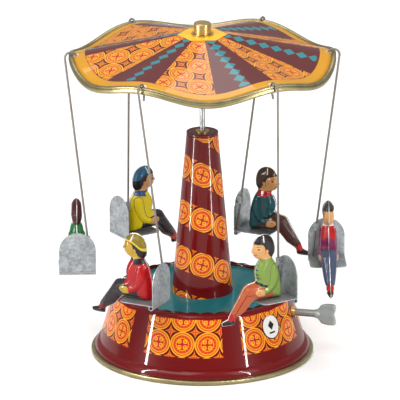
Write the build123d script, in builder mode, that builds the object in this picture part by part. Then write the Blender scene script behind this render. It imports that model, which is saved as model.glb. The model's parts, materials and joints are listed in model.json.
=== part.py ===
"""Wind-up tin swing carousel: a clockwork base, a turning canopy and six hanging riders.

Millimetres, +Z up. The origin is the middle of the base's foot. The winding key points along +X.
"""
from build123d import *
import os
from math import acos, atan2, cos, degrees, hypot, pi, radians, sin

# ---------------------------------------------------------------- driving dimensions
sheet = 0.6                    # lithographed tinplate
running = 0.05                 # radial clearance of a shaft in its bearing
side_play = 0.3                # gap between neighbouring moving pieces

# base
base_radius = 91.0             # outside of the rolled foot rim
rim_width = 2.8
rim_height = 4.2
base_height = 54.0
shoulder_radius = 73.0         # top of the skirt, before the rounded shoulder
shoulder_drop = 5.5
flare_height = 11.0            # the skirt flares out below this
flare_radius = 83.6
tray_drop = 2.0                # tray surface below the base's top
tray_ledge = 3.0
bend_radius = 0.9              # middle of the sheet, round the shell's folded lip
plate_lift = 1.0               # bottom plate above the floor

# column
column_foot_radius = 25.0
column_top_radius = 13.0
column_top = 185.6
column_cap_thickness = 1.6
column_cap_dish = 0.4          # cap's middle below its raised edge
column_cap_skirt = 4.0         # cap's sleeve down inside the column
column_neck = 0.9              # dark gap between the column's edge and its cap
column_tab_width = 5.0
column_tabs = 3

# spindle and canopy
spindle_radius = 2.25
bearing_wall = 2.2
bearing_flange = 1.2           # top bearing's flange, beyond its wall
bearing_length = 6.0
footstep_base = 0.6            # metal under the spindle's pivot
pivot_radius = 1.5
pivot_length = 3.8
pivot_lift = 0.3               # footstep's top below the spindle's shoulder
spindle_fit = 1.5              # cap's top above the spindle's end
riders = 6
first_swing_angle = 16.3       # rest angle of the first swing, from the key
canopy_radius = 108.4          # outside of the bead
bead_width = 3.6
bead_height = 6.0
bead_rise = 0.9                # bead's top above the sheet's edge
canopy_plate_radius = 20.3     # corners of the flat hexagon in the middle
canopy_plate_height = 270.0
ridge_height = 253.4           # sheet's edge at a swing
lobe_height = 245.2            # sheet's edge half way between two swings
cap_radius = 7.0
cap_height = 8.8
cap_chamfer = 0.7
collar_radius = 9.0
collar_thickness = 1.2
hub_radius = 6.0
hub_height = 9.0

# swings, drawn at angle 0: x away from the axis, y anticlockwise, riders face -y
wire_radius = 0.9
hook_clearance = 0.45          # wire's inside clear of the bead's corners
hook_tail = 8.5
tail_lean = 12.0               # tail's lean towards the wire
wire_foot_height = 78.0        # where the wire passes through the seat
wire_foot_inset = 15.3         # foot of the wire, inwards of the bead's middle
wire_foot_behind = 14.4
wire_foot_hook = 4.5
hole_length = 3.2              # along the canopy's ridge
hole_width = 2.6
seat_middle_inset = 4.1        # seat's middle, inwards of the bead's middle
seat_width = 30.0
seat_depth = 32.0
seat_height = 75.0
seat_back_height = 32.0
seat_back_gap = 0.05           # wire's foot clear of the seat's back
seat_roll_radius = 2.0
seat_corner = 5.0
clip_side = 0.2                # clip's middle, outwards of the wire
clip_height = 100.5
clip_length = 6.0
clip_width = 4.4
rider_shoulder_width = 14.0    # over both halves of the folded figure, at the seat
rider_crown_width = 5.0        # over both halves, at the top of the head
rider_toe_width = 4.6          # over both halves, at the toes
rider_lap = 15.0               # the figure narrows forwards of here
rider_toe = 48.0
rider_height = 55.0            # crown above the seat
rider_sheet = 0.7
rider_crown_solid = 3.0        # height of the closed crown of the folded figure
rider_corner = 1.0

# clockwork, driven from the spindle; wheels turn about axes along x
key_height = 38.8              # winding arbor
gear_module = 0.7
governor_module = 0.5
spindle_pinion_teeth = 12
contrate_teeth = 32
second_pinion_teeth = 10
great_wheel_teeth = 32
governor_teeth = 36
fly_pinion_teeth = 10
tooth_share = 0.39             # tooth width at the pitch line over the circular pitch
tooth_addendum = 0.8           # in modules
tooth_dedendum = 1.15
tooth_sunk = 0.1               # tooth root inside the rim, so the two join
pressure_angle = 20.0
wheel_thickness = 1.2
contrate_face = 1.6
contrate_depth = 2.6
pinion_height = 4.6
arbor_radius = 2.0
small_arbor_radius = 1.2
plate_thickness = 1.0
inner_plate_at = 8.0
plate_spacing = 25.0           # outside to outside
plate_width = 38.0
plate_over = 9.9               # plates' top above the winding arbor
plate_tab = 4.0
plate_tab_side = 10.0
plate_gap = 1.6                # wheel's face to a plate or to the spring
governor_gap = 2.4
arbor_over = 0.6               # arbor's end beyond its plate
pillar_radius = 1.5
pillar_side = 15.5
pillar_low = 7.0
pillar_over = 6.2              # upper pillars above the winding arbor
screw_head_radius = 2.4
screw_head_height = 1.0
screw_grip = 4.0               # screw's length in its pillar
ratchet_teeth = 24
ratchet_radius = 6.0
ratchet_depth = 0.8
click_pin_radius = 0.8
click_radius = 1.7
click_reach = 8.6              # click's pin from the arbor's axis
click_angle = 60.0
click_leaf = 0.4
click_nose_turn = 28.8         # just short of a ratchet tooth's steep face
click_nose_gap = 0.12
click_arm_width = 0.5
click_arm_turn = 9.0
spring_leaf_short = 1.3        # leaf's tip short of the click's pin
spring_width = 10.0
spring_strip = 0.45
spring_inner = 2.9
spring_pitch = 1.9
spring_half_turns = 8
fly_angle = -20.0
vane_radius = 6.6
vane_length = 11.0
vane_sheet = 0.4
vane_gap = 3.6
vane_hub = 0.8
key_shank_radius = 3.0
key_shank_start = 60.0
key_head_start = 95.5
key_head_reach = 112.0
key_head_height = 18.4
key_head_thickness = 3.2
key_socket = 6.0               # head's start beyond the arbor's end
key_joint = 3.0                # shank's length inside the head
key_wing_start = 5.0           # a wing's full height begins this far along the head
key_notch = 2.4                # dip between the wings
key_corner = 1.6
bush_wall = 1.3
bush_length = 7.0
bush_out = 3.0

# ---------------------------------------------------------------- worked out from them
wave = 360.0 / riders
tray_top = base_height - tray_drop
plate_top = key_height + plate_over
pillar_high = key_height + pillar_over
lip_radius_at = shoulder_radius - shoulder_drop
plate_floor = plate_lift + sheet
foot_inner = base_radius - rim_width
bead_middle = canopy_radius - bead_width / 2
sheet_edge_radius = canopy_radius - bead_width
hook_height = ridge_height + bead_rise - bead_height / 2
hook_radius = hypot(bead_width / 2, bead_height / 2) + hook_clearance + wire_radius
pitch_height = (ridge_height + lobe_height) / 2
wave_height = (ridge_height - lobe_height) / 2

great_radius = gear_module * great_wheel_teeth / 2
second_pinion_radius = gear_module * second_pinion_teeth / 2
contrate_radius = gear_module * contrate_teeth / 2
spindle_pinion_radius = gear_module * spindle_pinion_teeth / 2
second_height = key_height - great_radius - second_pinion_radius
mesh_height = second_height + contrate_radius
fly_distance = governor_module * (governor_teeth + fly_pinion_teeth) / 2
fly_side = fly_distance * cos(radians(fly_angle))
fly_height = second_height + fly_distance * sin(radians(fly_angle))
outer_plate_at = inner_plate_at + plate_spacing - plate_thickness
great_at = inner_plate_at + plate_thickness + plate_gap
ratchet_at = great_at + wheel_thickness + side_play
spring_at = ratchet_at + wheel_thickness + plate_gap
governor_at = spring_at + spring_width + governor_gap
contrate_tip = spindle_pinion_radius - tooth_addendum * gear_module
contrate_back = contrate_tip + contrate_depth

os.makedirs("parts", exist_ok=True)
finished = []


def finish(solid, label):
    """Name a finished piece and write its file."""
    solid.label = label
    export_step(solid, f"parts/{label}.step")
    finished.append(label)


def tube(outer, inner, low, high):
    """A plain ring about the spindle."""
    with BuildPart() as ring:
        with BuildSketch(Plane.XY.offset(low)):
            Circle(outer)
            Circle(inner, mode=Mode.SUBTRACT)
        extrude(amount=high - low)
    return ring.part


def cross_plane(x, y=0.0, z=0.0):
    """A plane across the x axis: its own x is the model's y, its own y is the model's z."""
    return Plane(origin=(x, y, z), x_dir=(0, 1, 0), z_dir=(1, 0, 0))


def rod(radius, start, end, y, z, bore=0.0):
    """A round rod, or a tube, along x."""
    with BuildPart() as bar:
        with BuildSketch(cross_plane(start, y, z)):
            Circle(radius)
            if bore:
                Circle(bore, mode=Mode.SUBTRACT)
        extrude(amount=end - start)
    return bar.part


# ---------------------------------------------------------------- base
with BuildPart() as base_rim:
    with BuildSketch(Plane.XZ) as rim_section:
        with Locations((foot_inner + rim_width / 2, rim_height / 2)):
            Rectangle(rim_width, rim_height)
        outer_corners = rim_section.vertices().group_by(Axis.X)[-1]
        fillet(outer_corners, rim_width * 0.42)
    revolve(axis=Axis.Z)
finish(base_rim.part, "base_rim")

with BuildPart() as base_shell:
    with BuildSketch(Plane.XZ):
        with BuildLine():
            skin = foot_inner - sheet / 2
            ledge = tray_top - sheet * 1.5
            foot = Line((skin, plate_lift - sheet), (skin, rim_height))
            flare = TangentArc([foot @ 1, (flare_radius, flare_height)], tangent=foot % 1)
            skirt_top = (shoulder_radius, base_height - shoulder_drop)
            skirt = Line(flare @ 1, skirt_top)
            crown = (lip_radius_at + bend_radius, base_height - sheet / 2)
            shoulder = Spline(skirt @ 1, crown, tangents=[skirt % 1, (-1, 0)])
            lip = RadiusArc(shoulder @ 1, (lip_radius_at, crown[1] - bend_radius), -bend_radius)
            wall = Line(lip @ 1, (lip_radius_at, ledge + bend_radius))
            turn = RadiusArc(wall @ 1, (lip_radius_at - bend_radius, ledge), bend_radius)
            Line(turn @ 1, (lip_radius_at - bend_radius - tray_ledge, ledge))
        trace(line_width=sheet)
    revolve(axis=Axis.Z)
    with BuildSketch(cross_plane(0, 0, key_height)):
        Circle(key_shank_radius + running + bush_wall)
    extrude(amount=base_radius, mode=Mode.SUBTRACT)
finish(base_shell.part, "base_shell")

tray_edge = lip_radius_at - sheet / 2 - bend_radius
with BuildPart() as base_tray:
    with BuildSketch(Plane.XY.offset(tray_top - sheet)):
        Circle(tray_edge)
        Circle(spindle_radius + bearing_wall + bearing_flange, mode=Mode.SUBTRACT)
        with PolarLocations(column_foot_radius - sheet / 2, column_tabs, start_angle=90):
            Rectangle(sheet + 2 * running, column_tab_width + 2 * running, mode=Mode.SUBTRACT)
    extrude(amount=sheet)
finish(base_tray.part, "base_tray")

with BuildPart() as bottom_plate:
    with BuildSketch(Plane.XY.offset(plate_lift)):
        Circle(foot_inner - sheet)
        for plate_x in (inner_plate_at, outer_plate_at):
            tab_x = plate_x + plate_thickness / 2
            with Locations((tab_x, plate_tab_side), (tab_x, -plate_tab_side)):
                Rectangle(plate_thickness + 2 * running, plate_tab + 2 * running, mode=Mode.SUBTRACT)
    extrude(amount=sheet)
finish(bottom_plate.part, "bottom_plate")

# ---------------------------------------------------------------- column
with BuildPart() as column_shell:
    with BuildSketch(Plane.XZ):
        with BuildLine():
            Polyline(
                (column_foot_radius, tray_top),
                (column_top_radius, column_top),
                (column_top_radius - sheet, column_top),
                (column_foot_radius - sheet, tray_top),
                close=True,
            )
        make_face()
    revolve(axis=Axis.Z)
    with BuildSketch(Plane.XY.offset(tray_top)):
        with PolarLocations(column_foot_radius - sheet / 2, column_tabs, start_angle=90):
            Rectangle(sheet, column_tab_width)
    extrude(amount=-2 * sheet)
finish(column_shell.part, "column_shell")

cap_seat = column_top + column_neck
cap_dish = cap_seat + column_cap_thickness - column_cap_dish
bearing_radius = spindle_radius + bearing_wall
flange_radius = bearing_radius + bearing_flange
with BuildPart() as column_cap:
    with BuildSketch(Plane.XZ):
        with BuildLine():
            Polyline(
                (bearing_radius, cap_dish),
                (column_top_radius - sheet - 2 * column_cap_dish, cap_dish),
                (column_top_radius - sheet - column_cap_dish, cap_seat + column_cap_thickness),
                (column_top_radius, cap_dish),
                (column_top_radius, cap_seat),
                (column_top_radius - sheet, cap_seat),
                (column_top_radius - sheet, column_top - column_cap_skirt),
                (column_top_radius - 2 * sheet, column_top - column_cap_skirt),
                (column_top_radius - 2 * sheet, cap_seat),
                (bearing_radius, cap_seat),
                close=True,
            )
        make_face()
    revolve(axis=Axis.Z)
finish(column_cap.part, "column_cap")

with BuildPart() as top_bearing:
    with BuildSketch(Plane.XZ):
        with BuildLine():
            Polyline(
                (spindle_radius + running, cap_seat - bearing_length),
                (bearing_radius, cap_seat - bearing_length),
                (bearing_radius, cap_dish),
                (flange_radius, cap_dish),
                (flange_radius, cap_seat + column_cap_thickness + column_cap_dish),
                (spindle_radius + running, cap_seat + column_cap_thickness + column_cap_dish),
                close=True,
            )
        make_face()
    revolve(axis=Axis.Z)
finish(top_bearing.part, "top_bearing")

footstep_floor = plate_floor + footstep_base
with BuildPart() as footstep_bearing:
    with BuildSketch(Plane.XY.offset(plate_floor)):
        Circle(bearing_radius)
    extrude(amount=footstep_base + pivot_length - pivot_lift)
    with BuildSketch(Plane.XY.offset(footstep_floor)):
        Circle(pivot_radius + running)
    extrude(amount=pivot_length, mode=Mode.SUBTRACT)
finish(footstep_bearing.part, "footstep_bearing")

# ---------------------------------------------------------------- spindle and canopy
spindle_bottom = footstep_floor + running
spindle_top = canopy_plate_height + collar_thickness + cap_height - spindle_fit
with BuildPart() as spindle:
    with BuildSketch(Plane.XY.offset(spindle_bottom)):
        Circle(pivot_radius)
    extrude(amount=pivot_length)
    with BuildSketch(Plane.XY.offset(spindle_bottom + pivot_length)):
        Circle(spindle_radius)
    extrude(amount=spindle_top - spindle_bottom - pivot_length)
finish(spindle.part, "spindle")


def tooth_outline(teeth, module, share=tooth_share):
    """One straight-flanked gear tooth on the sketch's x axis, its root sunk into the rim."""
    pitch_radius = module * teeth / 2
    half = share * pi * module / 2
    tip = tooth_addendum * module
    root = tooth_dedendum * module + tooth_sunk
    slope = sin(radians(pressure_angle))
    return (
        (pitch_radius - root, half + root * slope),
        (pitch_radius + tip, half - tip * slope),
        (pitch_radius + tip, -half + tip * slope),
        (pitch_radius - root, -half - root * slope),
    )


def gear_sketch(teeth, module, bore, start_angle):
    """A toothed disc with a bore, its first tooth at start_angle."""
    with BuildSketch() as tooth:
        with BuildLine():
            Polyline(*tooth_outline(teeth, module), close=True)
        make_face()
    with BuildSketch() as disc:
        Circle(module * teeth / 2 - tooth_dedendum * module)
        with PolarLocations(0, teeth, start_angle=start_angle):
            add(tooth.sketch)
        Circle(bore, mode=Mode.SUBTRACT)
    return disc.sketch


def wheel(teeth, module, bore, start_angle, x, y, z, thickness):
    """A gear wheel across the x axis."""
    with BuildPart() as gear:
        with BuildSketch(cross_plane(x, y, z)):
            add(gear_sketch(teeth, module, bore, start_angle))
        extrude(amount=thickness)
    return gear.part


with BuildPart() as spindle_pinion:
    gap_on_x = 180.0 / spindle_pinion_teeth
    low = mesh_height - pinion_height / 2
    with BuildSketch(Plane.XY.offset(low)):
        add(gear_sketch(spindle_pinion_teeth, gear_module, spindle_radius, gap_on_x))
    extrude(amount=pinion_height)
finish(spindle_pinion.part, "spindle_pinion")


def edge_height(angle):
    """Height of the canopy's edge at an angle measured from a swing."""
    return pitch_height + wave_height * cos(radians(riders * angle))


def wave_edge(radius, rise, steps=8):
    """The wavy edge between two swings, at a radius, raised by rise."""
    points = []
    for step in range(steps + 1):
        angle = wave * step / steps
        x = radius * cos(radians(angle))
        y = radius * sin(radians(angle))
        points.append((x, y, edge_height(angle) + rise))
    along = [(0, 1, 0), (-sin(radians(wave)), cos(radians(wave)), 0)]
    return Edge.make_spline([Vector(*point) for point in points],
                            tangents=[Vector(*way) for way in along])


def flat_side():
    """One side of the hexagon in the canopy's middle."""
    corner = Vector(canopy_plate_radius, 0, canopy_plate_height)
    return Edge.make_line(corner, corner.rotate(Axis.Z, wave))


down = Vector(0, 0, -1)
panel_top = Face.make_surface_from_curves(flat_side(), wave_edge(sheet_edge_radius, 0))
panel = Solid.extrude(panel_top, down * sheet)
bead_top = Face.make_surface_from_curves(
    wave_edge(sheet_edge_radius, bead_rise), wave_edge(canopy_radius, bead_rise))
bead_arc = Solid.extrude(bead_top, down * bead_height)

with BuildPart() as canopy:
    with BuildSketch(Plane.XY.offset(canopy_plate_height)):
        RegularPolygon(canopy_plate_radius, riders)
    extrude(amount=-sheet)
    for k in range(riders):
        add(panel.rotate(Axis.Z, wave * k))
    with BuildSketch(Plane.XY.offset(canopy_plate_height)):
        Circle(spindle_radius)
    extrude(amount=-2 * sheet, mode=Mode.SUBTRACT)
    canopy_slope = (canopy_plate_height - ridge_height) / (sheet_edge_radius - canopy_plate_radius)
    hole_rise = bead_height / 2 - bead_rise + canopy_slope * hook_radius - sheet / 2
    hole_inset = (hook_radius ** 2 - hole_rise ** 2) ** 0.5
    with BuildSketch(Plane.XY.offset(canopy_plate_height)):
        with PolarLocations(bead_middle - hole_inset, riders):
            SlotOverall(hole_length, hole_width)
    extrude(amount=lobe_height - canopy_plate_height, mode=Mode.SUBTRACT)
finish(canopy.part.rotate(Axis.Z, first_swing_angle), "canopy")

with BuildPart() as canopy_rim:
    for k in range(riders):
        add(bead_arc.rotate(Axis.Z, wave * k))
finish(canopy_rim.part.rotate(Axis.Z, first_swing_angle), "canopy_rim")

collar_top = canopy_plate_height + collar_thickness
finish(tube(collar_radius, spindle_radius, canopy_plate_height, collar_top), "canopy_collar")
hub_top = canopy_plate_height - sheet
finish(tube(hub_radius, spindle_radius, hub_top - hub_height, hub_top), "canopy_hub")

with BuildPart() as top_cap:
    with BuildSketch(Plane.XY.offset(collar_top)):
        Circle(cap_radius)
    extrude(amount=cap_height)
    chamfer(top_cap.edges().filter_by(GeomType.CIRCLE).sort_by(Axis.Z)[-1], cap_chamfer)
    with BuildSketch(Plane.XY.offset(collar_top)):
        Circle(spindle_radius)
    extrude(amount=spindle_top - collar_top, mode=Mode.SUBTRACT)
finish(top_cap.part, "top_cap")

# ---------------------------------------------------------------- one swing, at angle 0
foot_point = Vector(bead_middle - wire_foot_inset, wire_foot_behind, wire_foot_height)
hook_middle = Vector(bead_middle, 0, hook_height)
outwards = Vector(1, 0, 0)
to_foot = foot_point - hook_middle
hook_up = -Vector(0, to_foot.Y, to_foot.Z).normalized()
foot_turn = degrees(atan2(to_foot.dot(hook_up), to_foot.X))
outer_turn = foot_turn + degrees(acos(hook_radius / to_foot.length))
inner_turn = 180 + tail_lean


def on_hook(turn):
    """A point on the hook's round, turned from straight outwards, up and over the bead."""
    return hook_middle + (outwards * cos(radians(turn)) + hook_up * sin(radians(turn))) * hook_radius


outer_end = on_hook(outer_turn)
inner_end = on_hook(inner_turn)
tail_way = outwards * sin(radians(tail_lean)) - hook_up * cos(radians(tail_lean))
leg_way = (foot_point - outer_end).normalized()
with BuildPart() as swing_wire:
    with BuildLine() as wire_line:
        tail = Line(inner_end + tail_way * hook_tail, inner_end)
        hook = ThreePointArc(inner_end, on_hook(90), outer_end)
        Line(outer_end, foot_point + leg_way * wire_foot_hook)
    with BuildSketch(Plane(origin=tail @ 0, z_dir=tail % 0)):
        Circle(wire_radius)
    sweep(path=wire_line.line)

seat_middle = bead_middle - seat_middle_inset
seat_back = wire_foot_behind + wire_radius + seat_back_gap
clip_point = foot_point - leg_way * ((clip_height - wire_foot_height) / -leg_way.Z)
with BuildPart() as seat:
    with BuildSketch(Plane.XY.offset(seat_height)) as seat_plan:
        with Locations((seat_middle, seat_back + sheet - seat_depth / 2)):
            Rectangle(seat_width, seat_depth)
        front_corners = seat_plan.vertices().group_by(Axis.Y)[0]
        fillet(front_corners, seat_corner)
    extrude(amount=-sheet)
    back_plane = Plane(origin=(seat_middle, seat_back, seat_height - sheet),
                       x_dir=(1, 0, 0), z_dir=(0, 1, 0))
    with BuildSketch(back_plane):
        straight = seat_back_height + sheet - seat_width / 2
        with Locations((0, -straight / 2)):
            Rectangle(seat_width, straight)
        with Locations((0, -straight)):
            Circle(seat_width / 2)
    extrude(amount=sheet)
    roll_at = seat_back + sheet - seat_roll_radius
    with BuildSketch(cross_plane(seat_middle - seat_width / 2, roll_at,
                                 seat_height - seat_roll_radius)):
        Circle(seat_roll_radius)
        Circle(seat_roll_radius - sheet, mode=Mode.SUBTRACT)
    extrude(amount=seat_width)
    with BuildSketch(Plane.XY.offset(clip_height - clip_length / 2)):
        with Locations((clip_point.X + clip_side, seat_back + sheet / 2)):
            clip_depth = seat_back - clip_point.Y + wire_radius + sheet
            Rectangle(clip_width, clip_depth, align=(Align.CENTER, Align.MAX))
    extrude(amount=clip_length)
    with BuildSketch(Plane(origin=foot_point, z_dir=leg_way)):
        Circle(wire_radius + running)
    extrude(amount=wire_foot_hook + 2, mode=Mode.SUBTRACT)
    with BuildSketch(Plane(origin=foot_point, z_dir=-leg_way)):
        Circle(wire_radius + running)
    extrude(amount=60, mode=Mode.SUBTRACT)

# the rider's outline: forwards is +x here, heights are above the seat
with BuildSketch() as figure:
    with BuildLine():
        Polyline(
            (-7.5, 0), (-8.0, 14), (-7.0, 24), (-4.0, 31), (0.5, 34.5), (-2.0, 38), (-3.0, 43),
            (-1.0, 50), (3.5, 54), (9.0, rider_height), (14.5, 52.5), (17.8, 47), (18.4, 42.5),
            (18.8, 39.5), (16.5, 36.8), (12.5, 34.5), (13.5, 31), (17.0, 26), (17.6, 20),
            (15.0, 15), (22.0, 14.5), (26.5, 12), (40.0, -8), (41.5, -12), (47.6, -13.8),
            (46.5, -17.6), (36.5, -17.6), (34.0, -12.5), (27.0, -8.5), (18.0, 0),
            close=True,
        )
    make_face()
    fillet(figure.vertices().group_by(Axis.Y)[0], rider_corner)

figure_plane = Plane(origin=(seat_middle, 0, seat_height), x_dir=(0, -1, 0), z_dir=(-1, 0, 0))
splay = (rider_shoulder_width - rider_crown_width) / 2 / rider_height
rider_back_half = rider_shoulder_width / 2 + 1


def tent(half_at_seat, top, plane):
    """A tent over the figure: half_at_seat wide at the seat, closing upwards, cut at top."""
    low = -25.0
    with BuildPart() as wedge:
        with BuildSketch(plane):
            with BuildLine():
                Polyline(
                    (-(half_at_seat - splay * low), low), (half_at_seat - splay * low, low),
                    (half_at_seat - splay * top, top), (-(half_at_seat - splay * top), top),
                    close=True,
                )
            make_face()
        extrude(amount=60, both=True)
    return wedge.part



def plan_taper(back, front):
    """The figure's plan: back wide as far as the lap, then narrowing to front at the toes."""
    with BuildPart() as taper:
        with BuildSketch(Plane(origin=(seat_middle, 0, seat_height), x_dir=(1, 0, 0))):
            with BuildLine():
                Polyline(
                    (-back, rider_lap), (back, rider_lap), (back, -rider_lap),
                    (front, -rider_toe), (-front, -rider_toe), (-back, -rider_lap),
                    close=True,
                )
            make_face()
        extrude(amount=rider_height + 1, both=True)
    return taper.part


tent_plane = Plane(origin=(seat_middle, 0, seat_height), x_dir=(1, 0, 0), z_dir=(0, -1, 0))
outer_tent = tent(rider_shoulder_width / 2, rider_height + 1, tent_plane)
inner_tent = tent(rider_shoulder_width / 2 - rider_sheet, rider_height - rider_crown_solid, tent_plane)
with BuildPart() as rider:
    with BuildSketch(figure_plane):
        add(figure.sketch)
    extrude(amount=rider_shoulder_width, both=True)
    add(outer_tent, mode=Mode.INTERSECT)
    add(plan_taper(rider_back_half, rider_toe_width / 2), mode=Mode.INTERSECT)
    add(inner_tent & plan_taper(rider_back_half, rider_toe_width / 2 - rider_sheet), mode=Mode.SUBTRACT)

for number in range(1, riders + 1):
    turn_to = first_swing_angle + wave * (number - 1)
    finish(swing_wire.part.rotate(Axis.Z, turn_to), f"swing_wire_{number}")
    finish(seat.part.rotate(Axis.Z, turn_to), f"seat_{number}")
    finish(rider.part.rotate(Axis.Z, turn_to), f"rider_{number}")

# ---------------------------------------------------------------- clockwork frame
plate_axes = (
    (0.0, key_height, arbor_radius),
    (0.0, second_height, small_arbor_radius),
    (fly_side, fly_height, small_arbor_radius),
)
spring_outer = spring_inner + spring_pitch / 2 * spring_half_turns
anchor_side = spring_outer + spring_strip / 2 + pillar_radius
pillar_places = [(way * side, high) for way in (-1, 1)
                 for side, high in ((pillar_side, pillar_low), (anchor_side, pillar_high))]


def frame_plate(x):
    """A clockwork frame plate with its bearing holes, screw holes and two foot tabs."""
    with BuildPart() as plate:
        with BuildSketch(cross_plane(x)):
            with Locations((0, (plate_floor + plate_top) / 2)):
                Rectangle(plate_width, plate_top - plate_floor)
            with Locations((plate_tab_side, plate_lift), (-plate_tab_side, plate_lift)):
                Rectangle(plate_tab, 2 * sheet)
            for y, z, radius in plate_axes:
                with Locations((y, z)):
                    Circle(radius + running, mode=Mode.SUBTRACT)
            with Locations(*pillar_places):
                Circle(pillar_radius / 2, mode=Mode.SUBTRACT)
        extrude(amount=plate_thickness)
    return plate.part


finish(frame_plate(inner_plate_at), "inner_plate")
finish(frame_plate(outer_plate_at), "outer_plate")

pillar_start = inner_plate_at + plate_thickness
with BuildPart() as plate_pillars:
    with BuildSketch(cross_plane(pillar_start)):
        with Locations(*pillar_places):
            Circle(pillar_radius)
            Circle(pillar_radius / 2, mode=Mode.SUBTRACT)
    extrude(amount=outer_plate_at - pillar_start)
finish(plate_pillars.part, "plate_pillars")

with BuildPart() as plate_screws:
    shank = plate_thickness + screw_grip
    for head_at, way in ((inner_plate_at, 1), (outer_plate_at + plate_thickness, -1)):
        with BuildSketch(cross_plane(head_at)):
            with Locations(*pillar_places):
                Circle(screw_head_radius)
        extrude(amount=-way * screw_head_height)
        with BuildSketch(cross_plane(head_at)):
            with Locations(*pillar_places):
                Circle(pillar_radius / 2)
        extrude(amount=way * shank)
finish(plate_screws.part, "plate_screws")

bush_radius = key_shank_radius + running + bush_wall
skirt_run = (shoulder_radius - flare_radius) / (base_height - shoulder_drop - flare_height)
skirt_here = flare_radius + skirt_run * (key_height - flare_height)
bush_end = skirt_here + bush_out
finish(rod(bush_radius, bush_end - bush_length, bush_end, 0, key_height,
           bore=key_shank_radius + running), "key_bush")

with BuildPart() as mainspring:
    with BuildSketch(cross_plane(spring_at, 0, key_height)):
        with BuildLine():
            radius = spring_inner
            end = (radius, 0.0)
            for half_turn in range(spring_half_turns):
                way = -1 if half_turn % 2 else 1
                radius += spring_pitch / 2
                next_end = (end[0] - way * 2 * radius, 0.0)
                top = (end[0] - way * radius, way * radius)
                ThreePointArc(end, top, next_end)
                end = next_end
            Line(end, (end[0], pillar_high - key_height))
        trace(line_width=spring_strip)
    extrude(amount=spring_width)
finish(mainspring.part, "mainspring")

# ---------------------------------------------------------------- winding arbor and key
arbor_end = key_head_start - key_socket
finish(rod(arbor_radius, inner_plate_at - 2 * arbor_over, arbor_end, 0, key_height), "winding_arbor")

tooth_angle = 360.0 / ratchet_teeth
root = ratchet_radius - ratchet_depth - tooth_sunk
with BuildSketch() as saw_tooth:
    with BuildLine():
        Polyline(
            (root, 0), (ratchet_radius, 0),
            (root * cos(radians(tooth_angle)), root * sin(radians(tooth_angle))),
            close=True,
        )
    make_face()

with BuildPart() as ratchet_wheel:
    with BuildSketch(cross_plane(ratchet_at, 0, key_height)):
        Circle(ratchet_radius - ratchet_depth)
        with PolarLocations(0, ratchet_teeth):
            add(saw_tooth.sketch)
        Circle(arbor_radius, mode=Mode.SUBTRACT)
    extrude(amount=wheel_thickness)
finish(ratchet_wheel.part, "ratchet_wheel")

with BuildPart() as key:
    with BuildSketch(cross_plane(key_shank_start, 0, key_height)):
        Circle(key_shank_radius)
    extrude(amount=key_head_start + key_joint - key_shank_start)
    head_plane = Plane(origin=(0, 0, key_height), x_dir=(1, 0, 0), z_dir=(0, -1, 0))
    with BuildSketch(head_plane) as head:
        wing = key_head_height / 2
        with BuildLine():
            Polyline(
                (key_head_start, key_shank_radius), (key_head_start + key_wing_start, wing * 0.9),
                (key_head_reach - key_corner, wing), (key_head_reach, wing - key_corner),
                (key_head_reach - key_notch, 0), (key_head_reach, key_corner - wing),
                (key_head_reach - key_corner, -wing), (key_head_start + key_wing_start, -wing * 0.9),
                (key_head_start, -key_shank_radius),
                close=True,
            )
        make_face()
    extrude(amount=key_head_thickness / 2, both=True)
    with BuildSketch(cross_plane(key_shank_start, 0, key_height)):
        Circle(arbor_radius)
    extrude(amount=arbor_end - key_shank_start, mode=Mode.SUBTRACT)
finish(key.part, "key")

# ---------------------------------------------------------------- great wheel and click
# a tooth of the great wheel points straight down into a gap of the second pinion
click_y = click_reach * cos(radians(click_angle))
click_z = click_reach * sin(radians(click_angle))
with BuildPart() as great_wheel:
    with BuildSketch(cross_plane(great_at, 0, key_height)):
        add(gear_sketch(great_wheel_teeth, gear_module, arbor_radius + running, -90))
    extrude(amount=wheel_thickness)
    with BuildSketch(cross_plane(great_at, 0, key_height)):
        with Locations((click_y, click_z), (-click_y, click_z)):
            Circle(click_pin_radius)
    extrude(amount=wheel_thickness, mode=Mode.SUBTRACT)
finish(great_wheel.part, "great_wheel")

pin_end = ratchet_at + wheel_thickness + side_play
finish(rod(click_pin_radius, great_at, pin_end, click_y, key_height + click_z), "click_pin")

nose_radius = ratchet_radius - ratchet_depth + click_nose_gap
arm_radius = ratchet_radius + click_arm_width


def ratchet_point(radius, angle):
    """A point about the winding arbor, in the plane across it."""
    return radius * cos(radians(angle)), radius * sin(radians(angle))


with BuildPart() as click:
    with BuildSketch(cross_plane(ratchet_at, 0, key_height)):
        with Locations((click_y, click_z)):
            Circle(click_radius)
        with BuildLine():
            Polyline(
                ratchet_point(nose_radius, click_nose_turn),
                ratchet_point(arm_radius, click_nose_turn),
                (click_y - click_radius * 0.35, click_z - click_radius * 0.88),
                (click_y + click_radius * 0.7, click_z - click_radius * 0.6),
                ratchet_point(arm_radius, click_nose_turn - click_arm_turn),
                close=True,
            )
        make_face()
        with Locations((click_y, click_z)):
            Circle(click_pin_radius + running, mode=Mode.SUBTRACT)
    extrude(amount=wheel_thickness)
finish(click.part, "click")

with BuildPart() as click_spring:
    with BuildSketch(cross_plane(ratchet_at, 0, key_height)):
        with Locations((-click_y, click_z)):
            Circle(click_radius)
        spring_tip = click_y - spring_leaf_short
        with Locations(((-click_y + spring_tip) / 2, click_z + click_radius - click_leaf / 2)):
            Rectangle(click_y + spring_tip, click_leaf)
    extrude(amount=wheel_thickness)
    with BuildSketch(cross_plane(great_at, 0, key_height)):
        with Locations((-click_y, click_z)):
            Circle(click_pin_radius)
    extrude(amount=ratchet_at - great_at)
finish(click_spring.part, "click_spring")

# ---------------------------------------------------------------- second arbor, crown wheel and governor
second_end = outer_plate_at + plate_thickness + arbor_over
finish(rod(small_arbor_radius, contrate_back, second_end, 0, second_height), "second_arbor")

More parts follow.
